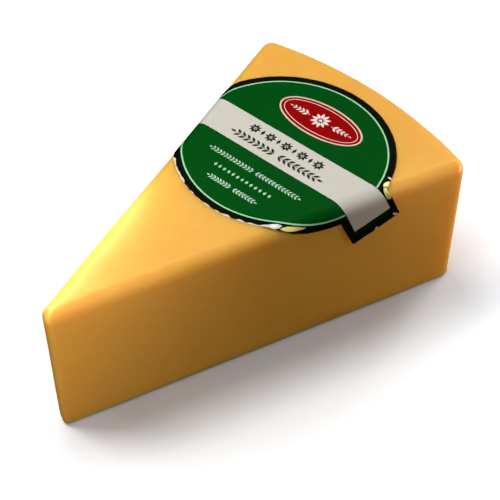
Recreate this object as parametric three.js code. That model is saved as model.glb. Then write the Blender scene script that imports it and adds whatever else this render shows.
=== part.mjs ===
// A wedge of hard goat's milk cheese cut from a round wheel, with a die-cut label folded over both cut faces.
// Millimetres, +Z up. +X points from the tip to the rind, and the wedge lies on its flat underside.
// The origin is the middle of the wedge's bounding box, on the underside.
import * as THREE from "three";
import { mergeVertices } from "three/addons/utils/BufferGeometryUtils.js";

const { degToRad } = THREE.MathUtils;

// The cheese
const wheelRadius = 150; // the rind is a stretch of the wheel's round side
const halfAngle = degToRad(17.7); // between the wedge's middle line and each cut face
const wedgeHeight = 53;
const topEdgeRadius = 4.7;
const bottomEdgeRadius = 1.8;
const tipRadius = 3.4; // upright edge where the two cut faces meet
const rindCornerRadius = 4.1; // upright edges between the cut faces and the rind
const leastUprightRadius = 0.8; // what the upright edges keep where they run out into the top

// The label: a disc with a ribbon across it, whose two ends stand out as tabs
const labelGap = 0.15; // clear of the cheese all over
const labelThickness = 0.35;
const labelMiddle = 105.5; // from the wheel's axis, along the wedge's middle line
const labelTurn = degToRad(4.4); // the ribbon is turned this much from square across the wedge
const discAlongRibbon = 36.1; // half axes of the disc's cut edge
const discAcrossRibbon = 35.2;
const tabReach = 44.8; // from the disc's middle to the end of each tab
const tabRindSide = 7; // the tab's long edges, measured from the disc's middle
const tabTipSide = -11;

// How finely the curves are cut
const tipSteps = 10;
const cornerSteps = 8;
const rindSteps = 36;
const topEdgeSteps = 8;
const bottomEdgeSteps = 4;
const discSteps = 48; // on each side of the ribbon
const foldSteps = 8; // strips of the label round each upper edge

const tipReach = tipRadius / Math.sin(halfAngle) - tipRadius; // wheel's axis to the foremost point of the tip
const wheelAxisX = -(tipReach + wheelRadius) / 2; // puts the bounding box's middle at the origin

// Points of a circle's arc, both ends included.
function arc(x, y, radius, from, to, steps) {
  return Array.from({ length: steps + 1 }, (_, i) => {
    const angle = THREE.MathUtils.lerp(from, to, i / steps);
    return new THREE.Vector2(x + radius * Math.cos(angle), y + radius * Math.sin(angle));
  });
}

// The wedge seen from above, moved inwards by inset, from the tip anticlockwise, about the wheel's axis.
function wedgeOutline(inset) {
  const tip = Math.max(tipRadius - inset, leastUprightRadius);
  const corner = Math.max(rindCornerRadius - inset, leastUprightRadius);
  const rind = wheelRadius - inset;
  const tipMiddle = (tip + inset) / Math.sin(halfAngle);
  // A corner's middle is corner + inset from the cut face's line, and rind - corner from the wheel's axis.
  const offFace = corner + inset;
  const alongFace = Math.sqrt((rind - corner) ** 2 - offFace ** 2);
  const cornerX = alongFace * Math.cos(halfAngle) + offFace * Math.sin(halfAngle);
  const cornerY = alongFace * Math.sin(halfAngle) - offFace * Math.cos(halfAngle);
  const rindEnd = Math.atan2(cornerY, cornerX);
  const faceTurn = Math.PI / 2 + halfAngle;
  return [
    ...arc(tipMiddle, 0, tip, faceTurn, 2 * Math.PI - faceTurn, tipSteps),
    ...arc(cornerX, -cornerY, corner, -faceTurn, -rindEnd, cornerSteps),
    ...arc(0, 0, rind, -rindEnd, rindEnd, rindSteps).slice(1, -1),
    ...arc(cornerX, cornerY, corner, rindEnd, faceTurn, cornerSteps),
  ];
}

// Each level of the wedge's skin, upwards: how far it stands in from the full outline, and its height.
function wedgeLevels() {
  const levels = [];
  for (let i = 0; i <= bottomEdgeSteps; i++) {
    const turn = ((Math.PI / 2) * i) / bottomEdgeSteps;
    levels.push([bottomEdgeRadius * (1 - Math.sin(turn)), bottomEdgeRadius * (1 - Math.cos(turn))]);
  }
  for (let i = 0; i <= topEdgeSteps; i++) {
    const turn = ((Math.PI / 2) * i) / topEdgeSteps;
    levels.push([topEdgeRadius * (1 - Math.cos(turn)), wedgeHeight - topEdgeRadius * (1 - Math.sin(turn))]);
  }
  return levels;
}

// A closed skin through rings of equally many points, anticlockwise from above, capped flat at both ends.
function closedSkin(rings) {
  const count = rings[0].length;
  const positions = rings.flat().flatMap((p) => [p.x, p.y, p.z]);
  const indices = [];
  for (let k = 0; k < rings.length - 1; k++) {
    for (let i = 0; i < count; i++) {
      const next = (i + 1) % count;
      const [a, b, c, d] = [k * count + i, k * count + next, (k + 1) * count + next, (k + 1) * count + i];
      indices.push(a, b, c, a, c, d);
    }
  }
  const flat = (ring) => ring.map((p) => new THREE.Vector2(p.x, p.y));
  const top = (rings.length - 1) * count;
  THREE.ShapeUtils.triangulateShape(flat(rings[0]), []).forEach(([a, b, c]) => indices.push(a, c, b));
  THREE.ShapeUtils.triangulateShape(flat(rings.at(-1)), []).forEach(([a, b, c]) =>
    indices.push(top + a, top + b, top + c),
  );
  return geometryOf(positions, indices);
}

function geometryOf(positions, indices) {
  const geometry = new THREE.BufferGeometry();
  geometry.setAttribute("position", new THREE.Float32BufferAttribute(positions, 3));
  geometry.setIndex(indices);
  const merged = mergeVertices(geometry, 1e-4);
  merged.computeVertexNormals();
  return merged;
}

function cheeseGeometry() {
  const rings = wedgeLevels().map(([inset, z]) =>
    wedgeOutline(inset).map((p) => new THREE.Vector3(p.x, p.y, z)),
  );
  return closedSkin(rings);
}

// Outward normals of the two cut faces, whose planes both hold the wheel's axis.
const frontNormal = new THREE.Vector2(-Math.sin(halfAngle), -Math.cos(halfAngle));
const backNormal = new THREE.Vector2(-Math.sin(halfAngle), Math.cos(halfAngle));

// Lays a point of the flat label on the cheese, lift above it: what runs past an upper edge bends round it.
function drape(flat, lift) {
  const place = new THREE.Vector3(flat.x, flat.y, wedgeHeight);
  const outwards = new THREE.Vector3(0, 0, 1);
  for (const normal of [frontNormal, backNormal]) {
    const across = flat.dot(normal);
    const past = across + topEdgeRadius;
    if (past <= 0) continue;
    const turn = Math.min(past / topEdgeRadius, Math.PI / 2);
    const down = Math.max(past - (topEdgeRadius * Math.PI) / 2, 0);
    const shift = topEdgeRadius * (Math.sin(turn) - 1) - across;
    place.set(
      flat.x + shift * normal.x,
      flat.y + shift * normal.y,
      wedgeHeight - topEdgeRadius * (1 - Math.cos(turn)) - down,
    );
    outwards.set(Math.sin(turn) * normal.x, Math.sin(turn) * normal.y, Math.cos(turn));
  }
  return place.addScaledVector(outwards, lift);
}

// The label's cut edge, flat, anticlockwise from its middle's own frame: the disc, and past it the two tabs.
function labelOutline() {
  const leavesDisc = (side) => discAlongRibbon * Math.sqrt(1 - (side / discAcrossRibbon) ** 2);
  const [rindLeaves, tipLeaves] = [leavesDisc(tabRindSide), leavesDisc(tabTipSide)];
  const turnOn = (along, across) => Math.atan2(across / discAcrossRibbon, along / discAlongRibbon);
  const discSide = (from, to) => {
    const [low, high] = [turnOn(...from), turnOn(...to)];
    return Array.from({ length: discSteps + 1 }, (_, i) => {
      const turn = THREE.MathUtils.lerp(low, high, i / discSteps);
      return [discAlongRibbon * Math.cos(turn), discAcrossRibbon * Math.sin(turn)];
    });
  };
  const cut = [
    [tabReach, tabTipSide],
    [tabReach, tabRindSide],
    ...discSide([rindLeaves, tabRindSide], [-rindLeaves, tabRindSide]),
    [-tabReach, tabRindSide],
    [-tabReach, tabTipSide],
    ...discSide([-tipLeaves, tabTipSide], [tipLeaves, tabTipSide]),
  ];
  const alongRibbon = new THREE.Vector2(Math.sin(labelTurn), -Math.cos(labelTurn));
  const acrossRibbon = new THREE.Vector2(Math.cos(labelTurn), Math.sin(labelTurn));
  return cut.map(([along, across]) =>
    new THREE.Vector2(labelMiddle, 0)
      .addScaledVector(alongRibbon, along)
      .addScaledVector(acrossRibbon, across),
  );
}

// Where the label bends: distances past a cut face's plane, from the top's flat to the flat of the face.
const bends = Array.from(
  { length: foldSteps + 1 },
  (_, i) => topEdgeRadius * ((Math.PI / 2) * (i / foldSteps) - 1),
);

// Adds a point to the outline wherever it crosses a bend.
function splitAtBends(outline) {
  let points = outline;
  for (const normal of [frontNormal, backNormal]) {
    for (const bend of bends) {
      points = points.flatMap((p, i) => {
        const q = points[(i + 1) % points.length];
        const [a, b] = [p.dot(normal) - bend, q.dot(normal) - bend];
        return a * b < 0 ? [p, p.clone().lerp(q, a / (a - b))] : [p];
      });
    }
  }
  return points;
}

// The part of a split outline between two bends of one cut face.
function sliceBetween(points, normal, low, high) {
  const onBend = 1e-7;
  return points.filter((p) => {
    const past = p.dot(normal);
    return past > low - onBend && past < high + onBend;
  });
}

// The label's flat form in strips along its bends: the middle, the folds and the flaps down the faces.
function labelStrips(outline) {
  const strips = [];
  let middle = outline;
  for (const normal of [frontNormal, backNormal]) {
    const limits = [...bends, Infinity];
    bends.forEach((bend, i) => strips.push(sliceBetween(outline, normal, bend, limits[i + 1])));
    middle = sliceBetween(middle, normal, -Infinity, bends[0]);
  }
  return [middle, ...strips];
}

function labelGeometry() {
  const outline = splitAtBends(labelOutline());
  const positions = [];
  const indices = [];
  const push = (flat, lift) => {
    const p = drape(flat, lift);
    return positions.push(p.x, p.y, p.z) / 3 - 1;
  };
  const [under, over] = [labelGap, labelGap + labelThickness];
  for (const strip of labelStrips(outline)) {
    for (const triangle of THREE.ShapeUtils.triangulateShape(strip, [])) {
      const corners = triangle.map((i) => strip[i]);
      indices.push(...corners.map((p) => push(p, over)));
      indices.push(...corners.toReversed().map((p) => push(p, under)));
    }
  }
  outline.forEach((p, i) => {
    const q = outline[(i + 1) % outline.length];
    const [a, b, c, d] = [push(p, under), push(q, under), push(q, over), push(p, over)];
    indices.push(a, b, c, a, c, d);
  });
  return geometryOf(positions, indices);
}

function namedMesh(name, geometry, color, roughness) {
  const mesh = new THREE.Mesh(geometry, new THREE.MeshStandardMaterial({ color, roughness, metalness: 0 }));
  mesh.name = name;
  return mesh;
}

const wedge = new THREE.Group();
wedge.position.x = wheelAxisX;
wedge.add(namedMesh("cheese", cheeseGeometry(), 0xf0ae47, 0.45));
wedge.add(namedMesh("label", labelGeometry(), 0x025311, 0.35));

const part = new THREE.Group();
part.add(wedge);

export default part;
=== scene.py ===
import math

import bmesh
import bpy
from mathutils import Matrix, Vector, noise
from mathutils.geometry import delaunay_2d_cdt
from mathutils.kdtree import KDTree


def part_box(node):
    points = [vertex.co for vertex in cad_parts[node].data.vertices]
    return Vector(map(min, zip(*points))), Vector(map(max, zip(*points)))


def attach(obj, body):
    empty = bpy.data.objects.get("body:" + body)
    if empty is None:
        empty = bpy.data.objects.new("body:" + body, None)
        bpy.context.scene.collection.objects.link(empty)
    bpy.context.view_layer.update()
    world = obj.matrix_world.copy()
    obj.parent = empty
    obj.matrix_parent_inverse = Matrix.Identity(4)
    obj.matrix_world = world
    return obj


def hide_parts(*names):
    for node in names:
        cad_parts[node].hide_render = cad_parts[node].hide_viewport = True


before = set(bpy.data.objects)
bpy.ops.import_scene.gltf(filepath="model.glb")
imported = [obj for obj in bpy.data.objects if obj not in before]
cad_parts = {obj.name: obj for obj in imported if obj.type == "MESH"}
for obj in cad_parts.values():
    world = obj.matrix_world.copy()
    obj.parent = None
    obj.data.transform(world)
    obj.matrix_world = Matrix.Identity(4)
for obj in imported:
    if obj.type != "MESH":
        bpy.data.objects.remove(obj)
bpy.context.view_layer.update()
mm = 0.001
scene = bpy.context.scene
print("frame loaded")


# small helpers that all pieces share

def hexColour(code):
    channels = [int(code[i:i + 2], 16) / 255 for i in (0, 2, 4)]
    linear = [c / 12.92 if c <= 0.04045 else ((c + 0.055) / 1.055) ** 2.4 for c in channels]
    return (*linear, 1.0)


def addNode(tree, kind, values=None, links=None, stops=(), **settings):
    # a node with its settings, fixed inputs and links; stops are places and colours along a colour ramp
    node = tree.nodes.new(kind)
    for name, value in settings.items():
        setattr(node, name, value)
    for socket, value in (values or {}).items():
        node.inputs[socket].default_value = value
    for socket, source in (links or {}).items():
        tree.links.new(source, node.inputs[socket])
    for i, (position, colour) in enumerate(stops):
        elements = node.color_ramp.elements
        element = elements[i] if i < len(elements) else elements.new(position)
        element.position = position
        element.color = colour
    return node


def newMaterial(name):
    material = bpy.data.materials.new(name)
    material.use_nodes = True
    tree = material.node_tree
    tree.nodes.clear()
    return material, tree


def dimmed(colour, share):
    return (*(min(c * share, 1.0) for c in colour[:3]), 1.0)


def finishMaterial(tree, shader):
    addNode(tree, "ShaderNodeOutputMaterial", links={"Surface": shader.outputs["BSDF"]})


def newPiece(name, mesh, materials):
    piece = bpy.data.objects.new(name, mesh)
    scene.collection.objects.link(piece)
    for material in materials:
        mesh.materials.append(material)
    return piece


def smoothStep(low, high, value):
    share = min(max((value - low) / (high - low), 0.0), 1.0)
    return share * share * (3 - 2 * share)


# the cheese

wedge = {
    "wheelRadius": 150,       # all sizes in mm, as cut
    "halfAngle": math.radians(17.7),
    "topEdge": 4.7,
    "bottomEdge": 1.4,
    # the narrow face at the tip: which way it faces, how far in it is
    "tipCut": (math.radians(158), 7.2),
    "tipRounds": (1.6, 1.8),  # its upright edges, back and front
    "tipFlat": 0.1,           # least width left between them
    "rindRound": 4.1,
    "leastRound": 0.8,        # upright edges where they run out into the top
    "swell": ((38, 0.20), (11, 0.045)),  # unevenness left by the press: width, depth
    "swellFrom": (1, 9),      # the heights between which it comes in
    "faceStep": 2.2,          # mesh spacing on the faces
    "edgeSteps": 14,          # and how finely each round is cut
    "tipSteps": (8, 12),
    "cornerSteps": 10,
    "rindSteps": 44,
}

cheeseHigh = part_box("cheese")[1]
wheelAxis = cheeseHigh.x / mm - wedge["wheelRadius"]
wedgeHeight = cheeseHigh.z / mm
frontNormal = Vector((-math.sin(wedge["halfAngle"]), -math.cos(wedge["halfAngle"])))
backNormal = Vector((-math.sin(wedge["halfAngle"]), math.cos(wedge["halfAngle"])))


def arcPoints(x, y, radius, start, end, steps):
    turns = [start + (end - start) * i / steps for i in range(steps + 1)]
    return [Vector((x + radius * math.cos(t), y + radius * math.sin(t))) for t in turns]


def linePoints(start, end, step):
    # evenly spread points between two ends, without the ends
    count = max(1, round((end - start).length / step))
    return [start.lerp(end, i / count) for i in range(1, count)]


def cornerArc(turns, offsets, radius, steps):
    # rounds the corner between two upright faces, given by their outward normals' turns and offsets
    one, two = (Vector((math.cos(turn), math.sin(turn))) for turn in turns)
    a, b = (offset - radius for offset in offsets)
    middle = Vector((a * two.y - b * one.y, b * one.x - a * two.x)) / (one.x * two.y - one.y * two.x)
    return arcPoints(middle.x, middle.y, radius, *turns, steps)


def tipOutline(inset):
    # where the narrow face runs out into the top, it stays as wide as its two rounded edges need
    back, front = math.pi / 2 + wedge["halfAngle"], 1.5 * math.pi - wedge["halfAngle"]
    turn, away = wedge["tipCut"]
    backRound, frontRound = (max(radius - inset, wedge["leastRound"]) for radius in wedge["tipRounds"])
    needed = (frontRound * math.tan((front - turn) / 2) + backRound * math.tan((turn - back) / 2)
              + wedge["tipFlat"])
    widening = 1 / math.tan(front - turn) + 1 / math.tan(turn - back)  # for each mm farther in
    sharpTip = math.cos(turn) * inset / math.sin(wedge["halfAngle"])
    offset = sharpTip - max(away + inset + sharpTip, needed / widening)
    backSteps, frontSteps = wedge["tipSteps"]
    return (cornerArc((back, turn), (-inset, offset), backRound, backSteps)
            + cornerArc((turn, front), (offset, -inset), frontRound, frontSteps))


def wedgeOutline(inset):
    # the wedge from above, moved inwards by inset, anticlockwise from the tip, about the wheel's axis
    half = wedge["halfAngle"]
    corner = max(wedge["rindRound"] - inset, wedge["leastRound"])
    rind = wedge["wheelRadius"] - inset
    offFace = corner + inset
    alongFace = math.sqrt((rind - corner) ** 2 - offFace ** 2)
    cornerX = alongFace * math.cos(half) + offFace * math.sin(half)
    cornerY = alongFace * math.sin(half) - offFace * math.cos(half)
    rindEnd = math.atan2(cornerY, cornerX)
    faceTurn = math.pi / 2 + half
    tipArc = tipOutline(inset)
    frontCorner = arcPoints(cornerX, -cornerY, corner, -faceTurn, -rindEnd, wedge["cornerSteps"])
    rindArc = arcPoints(0, 0, rind, -rindEnd, rindEnd, wedge["rindSteps"])
    backCorner = arcPoints(cornerX, cornerY, corner, rindEnd, faceTurn, wedge["cornerSteps"])
    sideCount = round(wedge["wheelRadius"] / wedge["faceStep"])
    frontSide = [tipArc[-1].lerp(frontCorner[0], i / sideCount) for i in range(1, sideCount)]
    backSide = [backCorner[-1].lerp(tipArc[0], i / sideCount) for i in range(1, sideCount)]
    return tipArc + frontSide + frontCorner + rindArc[1:-1] + backCorner + backSide


def swellAt(point):
    # outward swell in mm at a point in mm, none near the underside so that the wedge lies flat
    height = sum(depth * noise.noise(point / width) for width, depth in wedge["swell"])
    return height * smoothStep(*wedge["swellFrom"], point.z)


def fillFlat(loop, spacing):
    # triangles over a flat outline, with evenly spread points inside it that keep clear of the outline
    clear = spacing * 0.6
    low = Vector((min(p.x for p in loop), min(p.y for p in loop)))
    high = Vector((max(p.x for p in loop), max(p.y for p in loop)))
    inner = []
    for row in range(int((high.y - low.y) / spacing) + 1):
        for column in range(int((high.x - low.x) / spacing) + 1):
            spot = Vector((low.x + (column + 0.5 * (row % 2)) * spacing, low.y + row * spacing))
            if insideLoop(spot, loop) and min((spot - p).length for p in loop) > clear:
                inner.append(spot)
    points = loop + inner
    edges = [(i, (i + 1) % len(loop)) for i in range(len(loop))]
    made = delaunay_2d_cdt(points, edges, [], 1, 1e-6)
    return made[0], made[2]


def insideLoop(spot, loop):
    inside = False
    for i, p in enumerate(loop):
        q = loop[i - 1]
        crosses = (p.y > spot.y) != (q.y > spot.y)
        if crosses and spot.x < (q.x - p.x) * (spot.y - p.y) / (q.y - p.y) + p.x:
            inside = not inside
    return inside


def wedgeLevels():
    # each level of the wedge's skin, upwards: how far it stands in from the full outline, and its height
    levels = []
    for i in range(wedge["edgeSteps"] + 1):
        turn = math.pi / 2 * i / wedge["edgeSteps"]
        rise = wedge["bottomEdge"] * (1 - math.cos(turn))
        levels.append((wedge["bottomEdge"] * (1 - math.sin(turn)), rise))
    wallHeight = wedgeHeight - wedge["topEdge"] - wedge["bottomEdge"]
    wallSteps = round(wallHeight / wedge["faceStep"])
    levels += [(0, wedge["bottomEdge"] + wallHeight * i / wallSteps) for i in range(1, wallSteps)]
    for i in range(wedge["edgeSteps"] + 1):
        turn = math.pi / 2 * i / wedge["edgeSteps"]
        drop = wedge["topEdge"] * (1 - math.sin(turn))
        levels.append((wedge["topEdge"] * (1 - math.cos(turn)), wedgeHeight - drop))
    return levels


def buildWedge():
    levels = wedgeLevels()
    shape = bmesh.new()
    rings = []
    for inset, z in levels:
        rings.append([shape.verts.new((p.x, p.y, z)) for p in wedgeOutline(inset)])
    for lower, upper in zip(rings, rings[1:]):
        for i in range(len(lower)):
            shape.faces.new((lower[i - 1], lower[i], upper[i], upper[i - 1]))
    for inset, z in (levels[0], levels[-1]):
        points, triangles = fillFlat(wedgeOutline(inset), wedge["faceStep"])
        cap = [shape.verts.new((p.x, p.y, z)) for p in points]
        for triangle in triangles:
            shape.faces.new([cap[i] for i in triangle])
    bmesh.ops.remove_doubles(shape, verts=shape.verts, dist=1e-4)
    bmesh.ops.recalc_face_normals(shape, faces=shape.faces)
    shape.normal_update()
    moves = [vert.normal * swellAt(vert.co) for vert in shape.verts]
    for vert, move in zip(shape.verts, moves):
        vert.co = (vert.co + move + Vector((wheelAxis, 0, 0))) * mm
    mesh = bpy.data.meshes.new("cheeseWedge")
    shape.to_mesh(mesh)
    shape.free()
    mesh.shade_smooth()
    return mesh


cheeseLook = {
    "paste": "F0B64E",        # pressed goat's milk curd
    "pasteDeep": "EDB047",    # where the curd is a little denser
    "mottleSpan": (0.3, 0.62),  # where on the mottle's scale the two colours stand
    "patchWidth": 26,         # mm
    "curdWidth": 3.2,         # mm, the curds that were pressed together
    "curdShare": 0.35,        # of the curds in the mottle
    "grainWidth": 0.45,       # mm, coarser than the real grain so that it shows
    "grainDepth": 0.018,      # mm
    "grainStrength": 0.5,
    "roughness": (0.37, 0.48),  # of smoother and rougher curds
    "curdSpan": (0.3, 0.7),
    "lightDepth": 5.5,        # mm, how far light spreads inside
    "lightReach": (1.0, 0.6, 0.25),  # of red, green and blue
}


def pressedCheese():
    # firm pressed curd, cut with a wire and smoothed: satin, faintly mottled, light goes a little way in
    material, tree = newMaterial("pressedGoatCheeseWireCut")
    place = addNode(tree, "ShaderNodeTexCoord").outputs["Object"]
    patches = addNode(tree, "ShaderNodeTexNoise",
                      {"Scale": 1 / (cheeseLook["patchWidth"] * mm), "Detail": 3.0, "Roughness": 0.55},
                      {"Vector": place})
    curds = addNode(tree, "ShaderNodeTexNoise",
                    {"Scale": 1 / (cheeseLook["curdWidth"] * mm), "Detail": 2.0, "Roughness": 0.5},
                    {"Vector": place})
    mottle = addNode(tree, "ShaderNodeMix", {"Factor": cheeseLook["curdShare"]},
                     {"A": patches.outputs["Fac"], "B": curds.outputs["Fac"]}, data_type="FLOAT")
    deepAt, paleAt = cheeseLook["mottleSpan"]
    colour = addNode(tree, "ShaderNodeValToRGB", links={"Fac": mottle.outputs["Result"]},
                     stops=[(deepAt, hexColour(cheeseLook["pasteDeep"])),
                            (paleAt, hexColour(cheeseLook["paste"]))])
    grain = addNode(tree, "ShaderNodeTexNoise",
                    {"Scale": 1 / (cheeseLook["grainWidth"] * mm), "Detail": 3.0}, {"Vector": place})
    bump = addNode(tree, "ShaderNodeBump",
                   {"Strength": cheeseLook["grainStrength"], "Distance": cheeseLook["grainDepth"] * mm},
                   {"Height": grain.outputs["Fac"]})
    (lowCurd, highCurd), (smooth, rough) = cheeseLook["curdSpan"], cheeseLook["roughness"]
    gloss = addNode(tree, "ShaderNodeMapRange",
                    {"From Min": lowCurd, "From Max": highCurd, "To Min": smooth, "To Max": rough},
                    {"Value": curds.outputs["Fac"]})
    shader = addNode(tree, "ShaderNodeBsdfPrincipled",
                     {"IOR": 1.45, "Subsurface Weight": 1.0,
                      "Subsurface Radius": cheeseLook["lightReach"],
                      "Subsurface Scale": cheeseLook["lightDepth"] * mm},
                     {"Base Color": colour.outputs["Color"], "Roughness": gloss.outputs["Result"],
                      "Normal": bump.outputs["Normal"]})
    finishMaterial(tree, shader)
    return material


cheesePiece = newPiece("cheeseWedge", buildWedge(), [pressedCheese()])
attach(cheesePiece, "root")
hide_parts("cheese")
print("cheese made:", len(cheesePiece.data.polygons), "faces")


# the label's flat form, in mm from the disc's middle: first along the ribbon, then across it

label = {
    "middle": 105.5,              # mm from the wheel's axis
    "turn": math.radians(4.4),    # of the ribbon, from square across the wedge
    "disc": (36.1, 35.2),         # half axes of the cut edge
    "tabReach": 44.8,
    "tabSides": (-11.0, 7.0),
    "tabCorner": 0.5,
    "tabCurl": (38.8, 1.6),       # where the tab starts to curl away, how far its end stands off
    "cutWander": (3, 0.10),       # how the die's cut strays: over what width, how far
    "cutSeed": 5,
    "ring": (33.4, 32.5),         # half axes of the pale ring line
    "ringWidth": 0.52,
    "ribbonReach": 41.4,
    "ribbonSides": (-8.3, 4.95),
    "ribbonShade": (0.28, 0.168),  # painted shade line along the ribbon, tip's side and rind's side
    "badgeMiddle": (0.4, 17.7),
    "badge": (16.0, 7.4),
    "badgeWidth": 0.6,
    "gap": 0.03,                  # the glue under it
    "thickness": 0.26,
    "lineStep": 0.5,              # mesh spacing along printed edges, over the folds and on the flat
    "foldStep": 0.55,
    "flatStep": 1.0,
    # where the edge puckers over the front edge: middle, half length, reach inwards, height
    "puckers": [
        ((34.7, 8.9), 1.8, 2.2, 0.55),
        ((36.9, 6.9), 1.9, 1.9, 0.60),
        ((18.9, -30.0), 2.9, 2.6, 0.55),
        ((24.0, -26.3), 3.6, 2.6, 0.60),
    ],
    # where the bare foil shows at the creases, coloured as a painted glint: its kind, then its corners
    "foilGlintPatches": [
        ("gold", [(34.8, 9.7), (34.1, 9.2), (33.7, 8.5), (33.7, 7.6), (34.2, 6.9), (34.9, 7.6),
                  (35.6, 7.7), (35.3, 8.6)]),
        ("gold", [(34.9, 7.4), (34.4, 6.7), (35.2, 5.9), (36.5, 5.4), (37.7, 5.4), (38.4, 6.4),
                  (37.3, 7.2), (35.7, 7.2)]),
        ("pale", [(15.6, -31.9), (16.6, -30.9), (18.0, -29.7), (18.8, -28.2), (19.9, -26.9),
                  (21.3, -26.4), (21.2, -27.6), (20.2, -29.4), (18.0, -30.8)]),
        ("gold", [(21.5, -27.8), (21.8, -26.6), (22.6, -25.2), (24.2, -23.4), (26.6, -20.9),
                  (26.5, -21.7), (25.6, -23.4), (24.3, -25.3), (23.0, -26.9)]),
        ("pale", [(33.0, 11.2), (33.0, 10.8), (33.8, 10.6), (34.5, 10.6), (34.4, 11.0), (33.7, 11.4)]),
        ("pale", [(43.6, 5.2), (43.9, 4.7), (44.4, 5.0), (44.75, 5.9), (44.7, 6.4), (44.2, 5.9)]),
        ("pale", [(44.3, -1.4), (44.4, -2.3), (44.8, -2.6), (44.8, -1.5)]),
    ],
    # the strip round the disc where the core shows past the ink, bright there as a painted highlight of
    # the cut edge
    "bareEdgeHighlight": {
        "span": (math.radians(206), math.radians(303)),
        "fadeIn": 0.12,           # shares of the span
        "fadeOut": 0.9,
        "width": 0.3,
        "usual": 0.8,             # the rest in widths
        "wander": 2.4,
        "least": -0.6,
        "atEnds": -0.4,
        "waveWidth": 1.9,         # mm
        "waveSlice": 7,           # another slice gives another edge
        "outside": 0.5,           # how far it runs past the cut, mm
    },
}
alongRibbon = Vector((math.sin(label["turn"]), -math.cos(label["turn"])))
acrossRibbon = Vector((math.cos(label["turn"]), math.sin(label["turn"])))
labelMiddle = Vector((label["middle"], 0))


def arcOfEllipse(middle, axes, start, end, step):
    count = max(2, round(abs(end - start) * max(axes) / step))
    turns = [start + (end - start) * i / count for i in range(count + 1)]
    return [Vector((middle[0] + axes[0] * math.cos(t), middle[1] + axes[1] * math.sin(t)))
            for t in turns]


def ovalLoop(middle, axes, grow=0.0):
    return arcOfEllipse(middle, (axes[0] + grow, axes[1] + grow), 0, math.tau, label["lineStep"])[:-1]


def dense(corners):
    # a closed anticlockwise loop through the corners, with points at the mesh spacing
    area = sum(a[0] * b[1] - b[0] * a[1] for a, b in zip(corners, corners[1:] + corners[:1]))
    corners = corners if area > 0 else corners[::-1]
    points = []
    for corner, following in zip(corners, corners[1:] + corners[:1]):
        points += [Vector(corner)] + linePoints(Vector(corner), Vector(following), label["lineStep"])
    return points


def filledIn(corners):
    # points at the mesh spacing along an open line, without its two ends
    points = []
    for start, end in zip(corners, corners[1:]):
        points += [start] + linePoints(start, end, label["lineStep"])
    return points[1:]


def cutEdge():
    # the disc, and past it the two tabs, anticlockwise, straying a little as a worn die does
    reach, (tipSide, rindSide) = label["tabReach"], label["tabSides"]
    low, high = (math.asin(side / label["disc"][1]) for side in (tipSide, rindSide))
    cut = label["tabCorner"]
    corners = [(reach - cut, tipSide), (reach, tipSide + cut),
               (reach, rindSide - cut), (reach - cut, rindSide)]
    rindArc = arcOfEllipse((0, 0), label["disc"], high, math.pi - high, label["lineStep"])
    tipArc = arcOfEllipse((0, 0), label["disc"], math.pi - low, math.tau + low, label["lineStep"])
    nearTab = filledIn(tipArc[-1:] + [Vector(c) for c in corners] + rindArc[:1])
    farTab = filledIn(rindArc[-1:] + [Vector((-x, y)) for x, y in reversed(corners)] + tipArc[:1])
    points = nearTab + rindArc + farTab + tipArc
    width, depth = label["cutWander"]
    noise.seed_set(label["cutSeed"])  # the noise vectors' offsets are drawn from it, the same each run
    return [p + noise.noise_vector(Vector((p.x, p.y, 0)) / width).xy * depth for p in points]


def bareHighlightStrip():
    # the strip along the tip's side where the ink stops short of the cut edge: a painted highlight where
    # the cut edge catches the light
    bare = label["bareEdgeHighlight"]
    start, end = bare["span"]
    axes = [half + bare["outside"] for half in label["disc"]]
    outer = arcOfEllipse((0, 0), axes, start, end, label["lineStep"])
    inner = []
    for p in outer:
        share = (math.atan2(p.y, p.x) % math.tau - start) / (end - start)
        fade = smoothStep(0, bare["fadeIn"], share) * smoothStep(1, bare["fadeOut"], share)
        wave = noise.noise(Vector((p.x, p.y, bare["waveSlice"])) / bare["waveWidth"])
        widths = max(bare["usual"] + bare["wander"] * wave, bare["least"])
        reach = bare["width"] * (widths * fade + bare["atEnds"] * (1 - fade))
        inner.append(p - p.normalized() * (bare["outside"] + reach))
    return outer + inner[::-1]


def onCheese(flat, lift):
    # a point of the flat label laid on the cheese: past an upper edge it bends round it and goes down
    spot = labelMiddle + alongRibbon * flat[0] + acrossRibbon * flat[1]
    place, outwards = Vector((spot.x, spot.y, wedgeHeight)), Vector((0, 0, 1))
    edge = wedge["topEdge"]
    for normal in (frontNormal, backNormal):
        past = spot.dot(normal) + edge
        if past > 0:
            turn = min(past / edge, math.pi / 2)
            down = max(past - edge * math.pi / 2, 0)
            spot = spot + normal * (edge * (math.sin(turn) - 1) - spot.dot(normal))
            place = Vector((spot.x, spot.y, wedgeHeight - edge * (1 - math.cos(turn)) - down))
            outwards = Vector((*(normal * math.sin(turn)), math.cos(turn)))
    place += outwards * (lift + swellAt(place))
    return (place + Vector((wheelAxis, 0, 0))) * mm


def puckerAt(flat, fromEdge):
    # how far the sheet stands off here, at a pucker or where a tab's end curls away
    height = 0
    for middle, halfLength, reach, rise in label["puckers"]:
        away = (Vector(flat) - Vector(middle)).length / halfLength
        height += rise * max(0, 1 - away ** 2) * smoothStep(reach, 0, fromEdge)
    start, curl = label["tabCurl"]
    along = max(abs(flat[0]) - start, 0) / (label["tabReach"] - start)
    return height + curl * along ** 2


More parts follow.
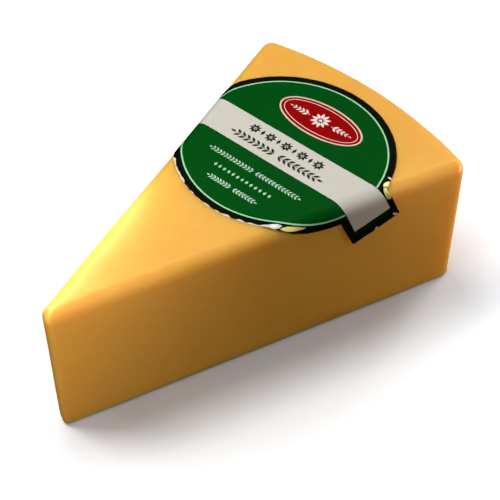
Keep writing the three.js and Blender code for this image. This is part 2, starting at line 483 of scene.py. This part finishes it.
def foldPoints(normal):
    # points in rows along one upper edge, so that the label bends cleanly round it
    edgeTurn = Vector((-normal.y, normal.x)) if normal.y < 0 else Vector((normal.y, -normal.x))
    bend = wedge["topEdge"] * math.pi / 2
    rows = math.ceil((bend + 1) / label["foldStep"])  # a row or so past both ends of the bend
    stretch = 1.5  # the points stand wider apart along the edge
    points = []
    for row in range(-1, rows + 1):
        past = row * label["foldStep"]
        for column in range(round(wedge["wheelRadius"] / label["foldStep"] / stretch)):
            spot = normal * (past - wedge["topEdge"]) + edgeTurn * column * label["foldStep"] * stretch
            spot -= labelMiddle
            points.append(Vector((spot.dot(alongRibbon), spot.dot(acrossRibbon))))
    return points


def treeOf(points):
    tree = KDTree(len(points))
    for i, p in enumerate(points):
        tree.insert((p.x, p.y, 0), i)
    tree.balance()
    return tree


def innerPoints(outline, fixed):
    # spread points inside the outline: fine round the puckers, in rows over the folds, even elsewhere
    fine, fold, step = label["lineStep"] * 0.8, label["foldStep"], label["flatStep"]
    fineClear, foldClear, stepClear = fine * 0.7, fold * 0.6, step * 0.8  # how near two points may come
    wanted = []
    for middle, halfLength, reach, rise in label["puckers"]:
        side = math.ceil((halfLength + reach) / fine)
        wanted += [(Vector(middle) + Vector((i, j)) * fine, fineClear)
                   for i in range(-side, side + 1) for j in range(-side, side + 1)]
    for normal in (frontNormal, backNormal):
        wanted += [(p, foldClear) for p in foldPoints(normal)]
    reach = math.ceil(label["tabReach"] / step)
    wanted += [(Vector((i + 0.5 * (j % 2), j)) * step, stepClear)
               for i in range(-reach, reach + 1) for j in range(-reach, reach + 1)]
    near = treeOf(fixed)
    kept = []
    for p, clear in wanted:
        if near.find((p.x, p.y, 0))[2] > clear and insideLoop(p, outline):
            kept.append((p, clear))
    chosen, taken = [], {}
    for p, clear in kept:
        cell = (math.floor(p.x), math.floor(p.y))
        close = [q for i in (-1, 0, 1) for j in (-1, 0, 1)
                 for q in taken.get((cell[0] + i, cell[1] + j), [])]
        if all((p - q).length > clear for q in close):
            taken.setdefault(cell, []).append(p)
            chosen.append(p)
    return chosen


def thinSolid(name, points, faces, inks, heights, wallInk):
    # a closed sheet laid on the cheese; heights gives each point's lower and upper lift
    shape = bmesh.new()
    used = sorted({i for face in faces for i in face})
    over = {i: shape.verts.new(onCheese(points[i], heights[i][1])) for i in used}
    under = {i: shape.verts.new(onCheese(points[i], heights[i][0])) for i in used}
    sides = {}
    for face, ink in zip(faces, inks):
        top = shape.faces.new([over[i] for i in face])
        bottom = shape.faces.new([under[i] for i in reversed(face)])
        top.material_index, bottom.material_index = ink, wallInk
        top.smooth = bottom.smooth = True
        for i, start in enumerate(face):
            sides[(start, face[(i + 1) % len(face)])] = ink
    for (start, end), ink in sides.items():
        if (end, start) not in sides:
            wall = shape.faces.new((over[end], over[start], under[start], under[end]))
            wall.material_index = wallInk
            for edge in wall.edges:
                edge.smooth = False
    mesh = bpy.data.meshes.new(name)
    shape.to_mesh(mesh)
    shape.free()
    return mesh


def bandCorners(reach, low, high):
    return [(-reach, low), (reach, low), (reach, high), (-reach, high)]


def printedFields(outline):
    # the fields of colour from the undermost up: the ink's name, then a closed loop
    (tipSide, rindSide), (tipShade, rindShade) = label["ribbonSides"], label["ribbonShade"]
    reach, ring, halfRing = label["ribbonReach"], label["ring"], label["ringWidth"] / 2
    badgeMiddle, badge, halfBadge = label["badgeMiddle"], label["badge"], label["badgeWidth"] / 2
    fields = [("rim", outline), ("bare", bareHighlightStrip()),
              ("pale", ovalLoop((0, 0), ring, halfRing)), ("green", ovalLoop((0, 0), ring, -halfRing)),
              ("shade", dense(bandCorners(reach, tipSide - tipShade, rindSide + rindShade))),
              ("ribbon", dense(bandCorners(reach, tipSide, rindSide))),
              ("cream", ovalLoop(badgeMiddle, badge, halfBadge)),
              ("red", ovalLoop(badgeMiddle, badge, -halfBadge))]
    return fields + [(kind + "Foil", dense(corners)) for kind, corners in label["foilGlintPatches"]]


def buildLabel():
    outline = cutEdge()
    printed = printedFields(outline)
    fixed, loops = [], []
    for ink, loop in printed:
        loops.append(list(range(len(fixed), len(fixed) + len(loop))))
        fixed += loop
    made = delaunay_2d_cdt(fixed + innerPoints(outline, fixed), [], loops, 0, 1e-5)
    points, triangles, owners = made[0], made[2], made[5]
    inside = [(t, max(o)) for t, o in zip(triangles, owners) if 0 in o]
    parts = 4  # of each stretch of the outline, to measure from
    edgeTree = treeOf([p.lerp(outline[i - 1], k / parts)
                       for i, p in enumerate(outline) for k in range(parts)])
    fromEdge = [edgeTree.find((p.x, p.y, 0))[2] for p in points]
    heights = []
    for p, d in zip(points, fromEdge):
        rise = puckerAt(p, d)
        heights.append((label["gap"] + rise, label["gap"] + label["thickness"] + rise))
    order = list(inkLooks)
    inks = [order.index(printed[owner][0]) for triangle, owner in inside]
    mesh = thinSolid("labelSheet", points, [t for t, o in inside], inks, heights, order.index("bare"))
    used = sorted({i for triangle, owner in inside for i in triangle})
    attribute = mesh.attributes.new("fromCutEdge", "FLOAT", "POINT")
    attribute.data.foreach_set("value", [fromEdge[i] for i in used] * 2)
    return mesh


labelLook = {
    # the rim's colours from the cut edge to the ring, a painted dark reflection of the foil border
    "rimReflectionStops": [(0.0, "2A1405"), (0.28, "0B0E05"), (0.6, "0B0E05"), (1.0, "052806")],
    "rimWidth": 2.6,          # mm
    "inkRoughness": 0.2,
    "inkPatch": 1.6,          # mm, unevenness of the ink film
    "inkSpread": 0.04,        # how much lighter and darker it gets
    "inkSpan": (0.3, 0.7),
    "cockleWidth": 7.0,       # mm, the foil paper's slight cockle
    "cockleDepth": 0.05,      # mm
    "cockleStrength": 0.4,
    "foilRoughness": 0.3,
    "foilMetal": 0.15,
    "foilPatch": 0.8,         # mm
    "foilDark": 0.86,         # share of its colour that the foil's dull patches keep
    "foilSpan": (0.35, 0.6),
}


def cockle(tree, place):
    # the sheet's slight waves, which break up its shine
    wave = addNode(tree, "ShaderNodeTexNoise",
                   {"Scale": 1 / (labelLook["cockleWidth"] * mm), "Detail": 2.0, "Roughness": 0.4},
                   {"Vector": place})
    bump = addNode(tree, "ShaderNodeBump",
                   {"Strength": labelLook["cockleStrength"], "Distance": labelLook["cockleDepth"] * mm},
                   {"Height": wave.outputs["Fac"]})
    return bump.outputs["Normal"]


def varnishedInk(name, colour, spread=labelLook["inkSpread"]):
    # offset ink under varnish on foil paper: even colour, a faint unevenness of the film, semi-gloss
    material, tree = newMaterial(name)
    place = addNode(tree, "ShaderNodeTexCoord").outputs["Object"]
    film = addNode(tree, "ShaderNodeTexNoise",
                   {"Scale": 1 / (labelLook["inkPatch"] * mm), "Detail": 3.0}, {"Vector": place})
    base = hexColour(colour)
    darkAt, lightAt = labelLook["inkSpan"]
    shades = addNode(tree, "ShaderNodeValToRGB", links={"Fac": film.outputs["Fac"]},
                     stops=[(darkAt, dimmed(base, 1 - spread)), (lightAt, dimmed(base, 1 + spread))])
    shader = addNode(tree, "ShaderNodeBsdfPrincipled",
                     {"IOR": 1.5, "Roughness": labelLook["inkRoughness"]},
                     {"Base Color": shades.outputs["Color"], "Normal": cockle(tree, place)})
    finishMaterial(tree, shader)
    return material


def paintedReflectionRim(name):
    # the foil border painted black as its dark reflection: greenish black inside, browner at the cut
    material, tree = newMaterial(name)
    place = addNode(tree, "ShaderNodeTexCoord").outputs["Object"]
    inwards = addNode(tree, "ShaderNodeAttribute", attribute_name="fromCutEdge").outputs["Fac"]
    share = addNode(tree, "ShaderNodeMath", {1: labelLook["rimWidth"]}, {0: inwards}, operation="DIVIDE",
                    use_clamp=True)
    colour = addNode(tree, "ShaderNodeValToRGB", links={"Fac": share.outputs[0]},
                     stops=[(at, hexColour(code)) for at, code in labelLook["rimReflectionStops"]])
    shader = addNode(tree, "ShaderNodeBsdfPrincipled",
                     {"IOR": 1.5, "Roughness": labelLook["inkRoughness"]},
                     {"Base Color": colour.outputs["Color"], "Normal": cockle(tree, place)})
    finishMaterial(tree, shader)
    return material


def foilWithPaintedGlint(name, colour):
    # aluminium foil with a yellow lacquer, creased: half mirror, its bright colour a painted glint
    material, tree = newMaterial(name)
    place = addNode(tree, "ShaderNodeTexCoord").outputs["Object"]
    tone = addNode(tree, "ShaderNodeTexNoise",
                   {"Scale": 1 / (labelLook["foilPatch"] * mm), "Detail": 2.0}, {"Vector": place})
    base = hexColour(colour)
    darkAt, lightAt = labelLook["foilSpan"]
    shades = addNode(tree, "ShaderNodeValToRGB", links={"Fac": tone.outputs["Fac"]},
                     stops=[(darkAt, dimmed(base, labelLook["foilDark"])), (lightAt, base)])
    shader = addNode(tree, "ShaderNodeBsdfPrincipled",
                     {"Metallic": labelLook["foilMetal"], "Roughness": labelLook["foilRoughness"]},
                     {"Base Color": shades.outputs["Color"], "Normal": cockle(tree, place)})
    finishMaterial(tree, shader)
    return material


inkLooks = {
    # the rim's black is a painted dark reflection of the foil border
    "rim": paintedReflectionRim("overprintedBlack"),
    # the paper's edges and underside, and the strip along the tip's side, where it is a painted
    # highlight
    "bare": varnishedInk("uninkedPaperEdge", "E9DDBB"),
    "pale": varnishedInk("paleGreenInk", "ABE0B4"),
    "green": varnishedInk("deepGreenInk", "014E12"),
    # a painted shade line along the ribbon's edges
    "shade": varnishedInk("trapLineInk", "04240A"),
    "ribbon": varnishedInk("warmGreyInk", "D3D0C3", 0.015),
    "cream": varnishedInk("creamInk", "ECC9BA"),
    "red": varnishedInk("carmineInk", "960508"),
    # the bare foil at the creases, its pale colours painted glints
    "goldFoil": foilWithPaintedGlint("lacqueredFoil", "FFF29A"),
    "paleFoil": foilWithPaintedGlint("plainFoil", "F6F3E6"),
}

labelPiece = newPiece("labelSheet", buildLabel(), list(inkLooks.values()))
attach(labelPiece, "root")
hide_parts("label")
print("label made:", len(labelPiece.data.polygons), "faces")


# the label's printed ornament: generic rosettes, leaves and lozenges

def lens(length, width, start=0.0, steps=7):
    # a leaf or petal lying along x, fullest a little before its middle
    lean = 0.8
    half = [(start + length * i / steps, width / 2 * math.sin(math.pi * (i / steps) ** lean))
            for i in range(1, steps)]
    return [(start, 0.0)] + [(x, -y) for x, y in half] + [(start + length, 0.0)] + half[::-1]


def turned(loop, turn, by=(0.0, 0.0)):
    cos, sin = math.cos(turn), math.sin(turn)
    return [(x * cos - y * sin + by[0], x * sin + y * cos + by[1]) for x, y in loop]


def lozenge(width, height):
    return [(-width / 2, 0.0), (0.0, -height / 2), (width / 2, 0.0), (0.0, height / 2)]


def motifMesh(name, loops):
    mesh = bpy.data.meshes.new(name)
    points = [(x, y, 0.0) for loop in loops for x, y in loop]
    starts = [sum(len(loop) for loop in loops[:i]) for i in range(len(loops))]
    mesh.from_pydata(points, [], [list(range(s, s + len(loop))) for s, loop in zip(starts, loops)])
    return mesh


def newTree(name, inputs):
    tree = bpy.data.node_groups.new(name, "GeometryNodeTree")
    for title, kind in inputs.items():
        tree.interface.new_socket(name=title, in_out="INPUT", socket_type="NodeSocket" + kind)
    tree.interface.new_socket(name="Geometry", in_out="OUTPUT", socket_type="NodeSocketGeometry")
    return tree, addNode(tree, "NodeGroupInput").outputs


def finishTree(tree, given, points, links):
    # puts the motif on every point, then makes one plain mesh of it in its ink
    motif = addNode(tree, "GeometryNodeObjectInfo", links={"Object": given["Motif"]})
    placed = addNode(tree, "GeometryNodeInstanceOnPoints",
                     links={"Points": points, "Instance": motif.outputs["Geometry"], **links})
    real = addNode(tree, "GeometryNodeRealizeInstances", links={"Geometry": placed.outputs["Instances"]})
    inked = addNode(tree, "GeometryNodeSetMaterial",
                    links={"Geometry": real.outputs["Geometry"], "Material": given["Ink"]})
    addNode(tree, "NodeGroupOutput", links={"Geometry": inked.outputs["Geometry"]})
    return tree


def buildRowTree():
    # a motif repeated in a straight row, growing or shrinking evenly from its first to its last size
    tree, given = newTree("motifRow", {"Motif": "Object", "Count": "Int", "Start": "Float",
                                       "Step": "Float", "First Size": "Float", "Last Size": "Float",
                                       "Ink": "Material"})
    offset = addNode(tree, "ShaderNodeCombineXYZ", links={"X": given["Step"]})
    start = addNode(tree, "ShaderNodeCombineXYZ", links={"X": given["Start"]})
    line = addNode(tree, "GeometryNodeMeshLine",
                   links={"Count": given["Count"], "Start Location": start.outputs[0],
                          "Offset": offset.outputs[0]})
    index = addNode(tree, "GeometryNodeInputIndex").outputs[0]
    # hardly less than one is taken off the count, so that a row of one divides by more than nothing
    gaps = addNode(tree, "ShaderNodeMath", {1: 0.999}, {0: given["Count"]}, operation="SUBTRACT")
    share = addNode(tree, "ShaderNodeMath", links={0: index, 1: gaps.outputs[0]}, operation="DIVIDE")
    size = addNode(tree, "ShaderNodeMapRange",
                   links={"Value": share.outputs[0], "To Min": given["First Size"],
                          "To Max": given["Last Size"]})
    return finishTree(tree, given, line.outputs["Mesh"], {"Scale": size.outputs["Result"]})


def buildWreathTree():
    # a motif repeated round a circle, pointing outwards
    tree, given = newTree("motifWreath", {"Motif": "Object", "Count": "Int", "Radius": "Float",
                                          "Ink": "Material"})
    circle = addNode(tree, "GeometryNodeMeshCircle",
                     links={"Vertices": given["Count"], "Radius": given["Radius"]})
    index = addNode(tree, "GeometryNodeInputIndex").outputs[0]
    step = addNode(tree, "ShaderNodeMath", {0: math.tau}, {1: given["Count"]}, operation="DIVIDE")
    turn = addNode(tree, "ShaderNodeMath", links={0: index, 1: step.outputs[0]}, operation="MULTIPLY")
    spin = addNode(tree, "ShaderNodeCombineXYZ", links={"Z": turn.outputs[0]})
    return finishTree(tree, given, circle.outputs["Mesh"], {"Rotation": spin.outputs[0]})


rowTree, wreathTree = buildRowTree(), buildWreathTree()


def repeated(tree, motif, **sizes):
    # runs one of the trees on a motif and returns the plain mesh
    source = bpy.data.objects.new(motif.name + "Motif", motif)
    host = bpy.data.objects.new(motif.name + "Host", bpy.data.meshes.new(motif.name + "Empty"))
    for item in (source, host):
        scene.collection.objects.link(item)
    modifier = host.modifiers.new("repeat", "NODES")
    modifier.node_group = tree
    sockets = {item.name: item.identifier for item in tree.interface.items_tree
               if item.in_out == "INPUT"}
    modifier[sockets["Motif"]] = source
    for title, value in sizes.items():
        modifier[sockets[title.replace("_", " ")]] = value
    graph = bpy.context.evaluated_depsgraph_get()
    mesh = bpy.data.meshes.new_from_object(host.evaluated_get(graph))
    host.modifiers.remove(modifier)
    for item in (host, source):
        bpy.data.objects.remove(item)
    return mesh


def evenRow(motif, count, spacing, ink):
    # a row about the middle, all of one size
    return repeated(rowTree, motif, Count=count, Start=-spacing * (count - 1) / 2, Step=spacing,
                    First_Size=1.0, Last_Size=1.0, Ink=ink)


ornament = {
    "ribbonInk": "17150F",
    "lowerInk": "BFE3C4",
    "badgeInk": "F2E3DA",
    "film": (0.01, 0.02),  # mm that the ink goes below and above the sheet's face
    "rosettes": {"middle": (0, 0.9), "count": 5, "spacing": 6.6},
    "rosette": {"petals": 8, "inner": 0.43, "outer": 2.15, "petalWidth": 0.903},
    "lozengeBetween": (1.3, 2.7),
    "ribbonGarland": {"middle": (0, -4.3), "reach": 19.0, "pairs": 8, "leaf": (2.3, 0.95)},
    "upperGarland": {"middle": (0, -14.7), "reach": 19.0, "pairs": 13, "leaf": (1.45, 0.62)},
    "lozenges": {"middle": (-0.6, -19.8), "count": 13, "spacing": 1.85, "size": (1.15, 1.7)},
    "lowerGarland": {"middle": (-0.6, -24.8), "reach": 10.4, "pairs": 7, "leaf": (1.45, 0.62)},
    "daisy": {"petals": 10, "inner": 0.95, "outer": 3.5, "petalWidth": 1.1},
    "spray": {"start": 5.2, "reach": 12.7, "pairs": 4, "leaf": (1.95, 0.8), "lastSize": 0.62},
    "badgeLine": (1.3, 0.24),  # how far in, how wide
    "eye": (0.62, 10),     # a flower's middle: radius in inner radii, corners
    "leafLean": math.radians(38),
    "leafFoot": 0.13,      # from the stem to the leaf, in leaf lengths
    "endLeaf": 0.9,        # length of a spray's last leaf, in leaf lengths
    "stemHalf": 0.11,      # half the stem's width, in leaf widths
    "stemTaper": 0.5,
    "stemFrom": 0.85,      # share of the spray's start
    "stemShort": 1.12,     # how far from the end it stops, in last leaves
}


def flatsOf(mesh, middle=(0, 0), turn=0.0):
    points = turned([(v.co.x, v.co.y) for v in mesh.vertices], turn, middle)
    return points, [list(polygon.vertices) for polygon in mesh.polygons]


def leafPair(leaf):
    length, width = leaf
    side = lens(length, width, start=length * ornament["leafFoot"])
    lean = ornament["leafLean"]
    return motifMesh("leafPair", [turned(side, lean), turned(side, -lean)])


def sprayFlats(middle, start, reach, pairs, leaf, ink, lastSize=1.0):
    # leaf pairs on a thin stem to both sides of the middle, each ending in one leaf
    tipLength = leaf[0] * ornament["endLeaf"] * lastSize
    step = (reach - tipLength - start) / pairs
    pair = repeated(rowTree, leafPair(leaf), Count=pairs, Start=start, Step=step, First_Size=1.0,
                    Last_Size=lastSize, Ink=ink)
    stemStart, stemEnd = start * ornament["stemFrom"], reach - tipLength * ornament["stemShort"]
    thick = leaf[1] * ornament["stemHalf"]
    thin = thick * ornament["stemTaper"]
    stem = [(stemStart, -thick), (stemEnd, -thin), (stemEnd, thin), (stemStart, thick)]
    ends = motifMesh("stem", [stem, lens(tipLength, leaf[1] * lastSize, start=reach - tipLength)])
    return [flatsOf(mesh, middle, turn) for mesh in (pair, ends) for turn in (0, math.pi)]


def garlandFlats(name, ink):
    # a spray that starts one leaf's width from its middle
    garland = ornament[name]
    return sprayFlats(start=garland["leaf"][1], ink=ink, **garland)


def ovalLineFlats(middle, axes, inset, width):
    # a line round an oval; the outer loop leaves out a few points to have as many as the inner one
    outer, inner = ovalLoop(middle, axes, -inset), ovalLoop(middle, axes, -inset - width)
    count = len(inner)
    outer = [outer[round(i * len(outer) / count) % len(outer)] for i in range(count)]
    faces = [[i, (i + 1) % count, count + (i + 1) % count, count + i] for i in range(count)]
    return [tuple(p) for p in outer + inner], faces


def printPiece(name, parts, ink):
    # one thin closed film of ink on the sheet for all the parts
    points, faces = [], []
    for partPoints, partFaces in parts:
        faces += [[i + len(points) for i in face] for face in partFaces]
        points += [Vector(p) for p in partPoints]
    face, (below, above) = label["gap"] + label["thickness"], ornament["film"]
    heights = [(face - below, face + above)] * len(points)
    mesh = thinSolid(name, points, faces, [0] * len(faces), heights, 0)
    piece = newPiece(name, mesh, [ink])
    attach(piece, "root")
    return piece


def rosetteMesh(petals, inner, outer, petalWidth, ink):
    petal = lens(outer - inner, petalWidth, steps=6)
    wreath = repeated(wreathTree, motifMesh("petal", [petal]), Count=petals, Radius=inner, Ink=ink)
    size, corners = ornament["eye"]
    eyeTurns = [math.tau * i / corners for i in range(corners)]
    eye = [(inner * size * math.cos(t), inner * size * math.sin(t)) for t in eyeTurns]
    loops = [[(wreath.vertices[i].co.x, wreath.vertices[i].co.y) for i in polygon.vertices]
             for polygon in wreath.polygons]
    return motifMesh("rosette", loops + [eye])


def ribbonOrnament(ink):
    row = ornament["rosettes"]
    count, spacing = row["count"], row["spacing"]
    flower = rosetteMesh(**ornament["rosette"], ink=ink)
    flowers = evenRow(flower, count, spacing, ink)
    small = motifMesh("lozenge", [lozenge(*ornament["lozengeBetween"])])
    between = evenRow(small, count - 1, spacing, ink)
    parts = [flatsOf(flowers, row["middle"]), flatsOf(between, row["middle"])]
    parts += garlandFlats("ribbonGarland", ink)
    return printPiece("ribbonOrnament", parts, ink)


def lowerOrnament(ink):
    row = ornament["lozenges"]
    middleRow = evenRow(motifMesh("lozenge", [lozenge(*row["size"])]), row["count"], row["spacing"], ink)
    parts = [flatsOf(middleRow, row["middle"])]
    parts += garlandFlats("upperGarland", ink) + garlandFlats("lowerGarland", ink)
    return printPiece("lowerOrnament", parts, ink)


def badgeOrnament(ink):
    spray, middle = ornament["spray"], label["badgeMiddle"]
    flower = rosetteMesh(**ornament["daisy"], ink=ink)
    parts = [flatsOf(flower, middle), ovalLineFlats(middle, label["badge"], *ornament["badgeLine"])]
    parts += sprayFlats(middle, **spray, ink=ink)
    return printPiece("badgeOrnament", parts, ink)


ornaments = [ribbonOrnament(varnishedInk("blackInk", ornament["ribbonInk"])),
             lowerOrnament(varnishedInk("paleInk", ornament["lowerInk"])),
             badgeOrnament(varnishedInk("whiteInk", ornament["badgeInk"]))]
print("ornament made:", sum(len(piece.data.polygons) for piece in ornaments), "faces")


# the stage: floor, lights and camera

stage = {
    "floorSize": 6.0,         # m
    "floorDrop": 0.00004,
    "floorColour": "F4F4F2",
    "floorGrain": 2,          # mm
    "grainDark": 0.985,
    "grainSpan": (0.3, 0.7),
    # the board glows though it is no lamp, a painted light, and glows less near the food as a painted
    # shadow round it: near the food and far from it
    "floorGlowAndPaintedShadow": (0.13, 1.2),
    "paintedShadowSpan": (0.055, 0.22),  # m from the middle
    "glowPaintedCoolCast": "ECF2FF",   # a painted cool tint, which makes up for the warm light off the food
    "boxSize": (0.35, 0.35),  # of each softbox, m
    "boxTarget": (0, 0, 0.03),
    "camera": (-0.19234, -0.20783, 0.33207),
    "target": (0.0221, 0.01123, 0.0),
    "lens": 92.28,            # mm
    "clipStart": 0.01,
}


def boardWithPaintedShadow():
    # painted board, no gloss, glowing more the farther out it is: a painted glow, darker near the food
    # as a painted shadow
    material, tree = newMaterial("paleMattBoard")
    place = addNode(tree, "ShaderNodeTexCoord").outputs["Object"]
    grain = addNode(tree, "ShaderNodeTexNoise",
                    {"Scale": 1 / (stage["floorGrain"] * mm), "Detail": 2.0}, {"Vector": place})
    base = hexColour(stage["floorColour"])
    darkAt, lightAt = stage["grainSpan"]
    shades = addNode(tree, "ShaderNodeValToRGB", links={"Fac": grain.outputs["Fac"]},
                     stops=[(darkAt, dimmed(base, stage["grainDark"])), (lightAt, base)])
    distance = addNode(tree, "ShaderNodeVectorMath", links={0: place}, operation="LENGTH")
    (start, end), (near, far) = stage["paintedShadowSpan"], stage["floorGlowAndPaintedShadow"]
    # dim near the food: a painted shadow round it
    glowWithPaintedShadow = addNode(tree, "ShaderNodeMapRange",
                   {"From Min": start, "From Max": end, "To Min": near, "To Max": far},
                   {"Value": distance.outputs["Value"]})
    shader = addNode(tree, "ShaderNodeBsdfPrincipled",
                     {"Roughness": 0.9, "Specular IOR Level": 0.2,
                      "Emission Color": hexColour(stage["glowPaintedCoolCast"])},
                     {"Base Color": shades.outputs["Color"],
                      "Emission Strength": glowWithPaintedShadow.outputs["Result"]})
    finishMaterial(tree, shader)
    return material


def addFloor():
    shape = bmesh.new()
    bmesh.ops.create_grid(shape, x_segments=6, y_segments=6, size=stage["floorSize"] / 2)
    mesh = bpy.data.meshes.new("floor")
    shape.to_mesh(mesh)
    shape.free()
    for vert in mesh.vertices:
        vert.co.z -= stage["floorDrop"]
    floor = newPiece("floor", mesh, [boardWithPaintedShadow()])
    floor.visible_diffuse = False
    floor.visible_glossy = False


def addSoftbox(name, place, target, size, watts, colour="FFFFFF"):
    lamp = bpy.data.lights.new(name, "AREA")
    lamp.shape = "RECTANGLE"
    lamp.size, lamp.size_y = size
    lamp.energy = watts
    lamp.color = hexColour(colour)[:3]
    box = bpy.data.objects.new(name, lamp)
    scene.collection.objects.link(box)
    box.location = place
    box.rotation_euler = (Vector(target) - Vector(place)).to_track_quat("-Z", "Y").to_euler()
    box.visible_camera = False
    return box


# large softboxes high up: place and watts
softboxes = {
    "key": ((-0.28, 0.484, 0.859), 4.5),
    "overhead": ((0, 0.276, 0.99), 3.85),
    "rindSide": ((0.788, 0, 0.645), 3.05),
    "tipSide": ((-0.559, 0, 0.859), 1.35),
}

# small near fills on the food alone, a little warm, as light that comes back from a table is
foodFills = {
    "rindFill": {"place": (0.15, -0.12, 0.04), "target": (-0.02, 0, 0.035), "size": (0.12, 0.03),
                 "watts": 0.155, "colour": "FFE7D4"},
    "tipFill": {"place": (-0.12, -0.06, 0.045), "target": (-0.05, -0.01, 0.03), "size": (0.06, 0.06),
                "watts": 0.035, "colour": "FFF4EE"},
    "backEdgeStrip": {"place": (-0.0462, 0.0126, 0.061), "target": (-0.0461, 0.0123, 0.06),
                      "size": (0.06, 0.005), "watts": 0.006},
}

# and on the cheese alone, above the front edge at both sides of the label
cheeseFills = {
    "frontTipStrip": {"place": (-0.0618, -0.0286, 0.069), "target": (-0.0551, -0.0076, 0.04),
                      "size": (0.06, 0.008), "watts": 0.003},
    "frontRindStrip": {"place": (0.044, -0.0623, 0.069), "target": (0.0507, -0.0413, 0.04),
                       "size": (0.025, 0.008), "watts": 0.0015},
}

addFloor()
for name, (place, watts) in softboxes.items():
    addSoftbox(name, place, stage["boxTarget"], stage["boxSize"], watts)
for title, pieces, fills in (("food", (cheesePiece, labelPiece, *ornaments), foodFills),
                             ("cheese", (cheesePiece,), cheeseFills)):
    lit = bpy.data.collections.new(title)
    for piece in pieces:
        lit.objects.link(piece)
    for name, values in fills.items():
        addSoftbox(name, **values).light_linking.receiver_collection = lit

world = bpy.data.worlds.new("studio")
scene.world = world
world.use_nodes = True
background = world.node_tree.nodes["Background"]
background.inputs["Color"].default_value = hexColour("FFFFFF")
background.inputs["Strength"].default_value = 1.0
world.cycles_visibility.diffuse = False
world.cycles_visibility.glossy = False
scene.view_settings.view_transform = "Standard"

lensData = bpy.data.cameras.new("camera")
lensData.lens = stage["lens"]
camera = bpy.data.objects.new("camera", lensData)
scene.collection.objects.link(camera)
camera.location = stage["camera"]
camera.rotation_euler = (Vector(stage["target"]) - camera.location).to_track_quat("-Z", "Y").to_euler()
lensData.clip_start = stage["clipStart"]
scene.camera = camera
print("stage made")
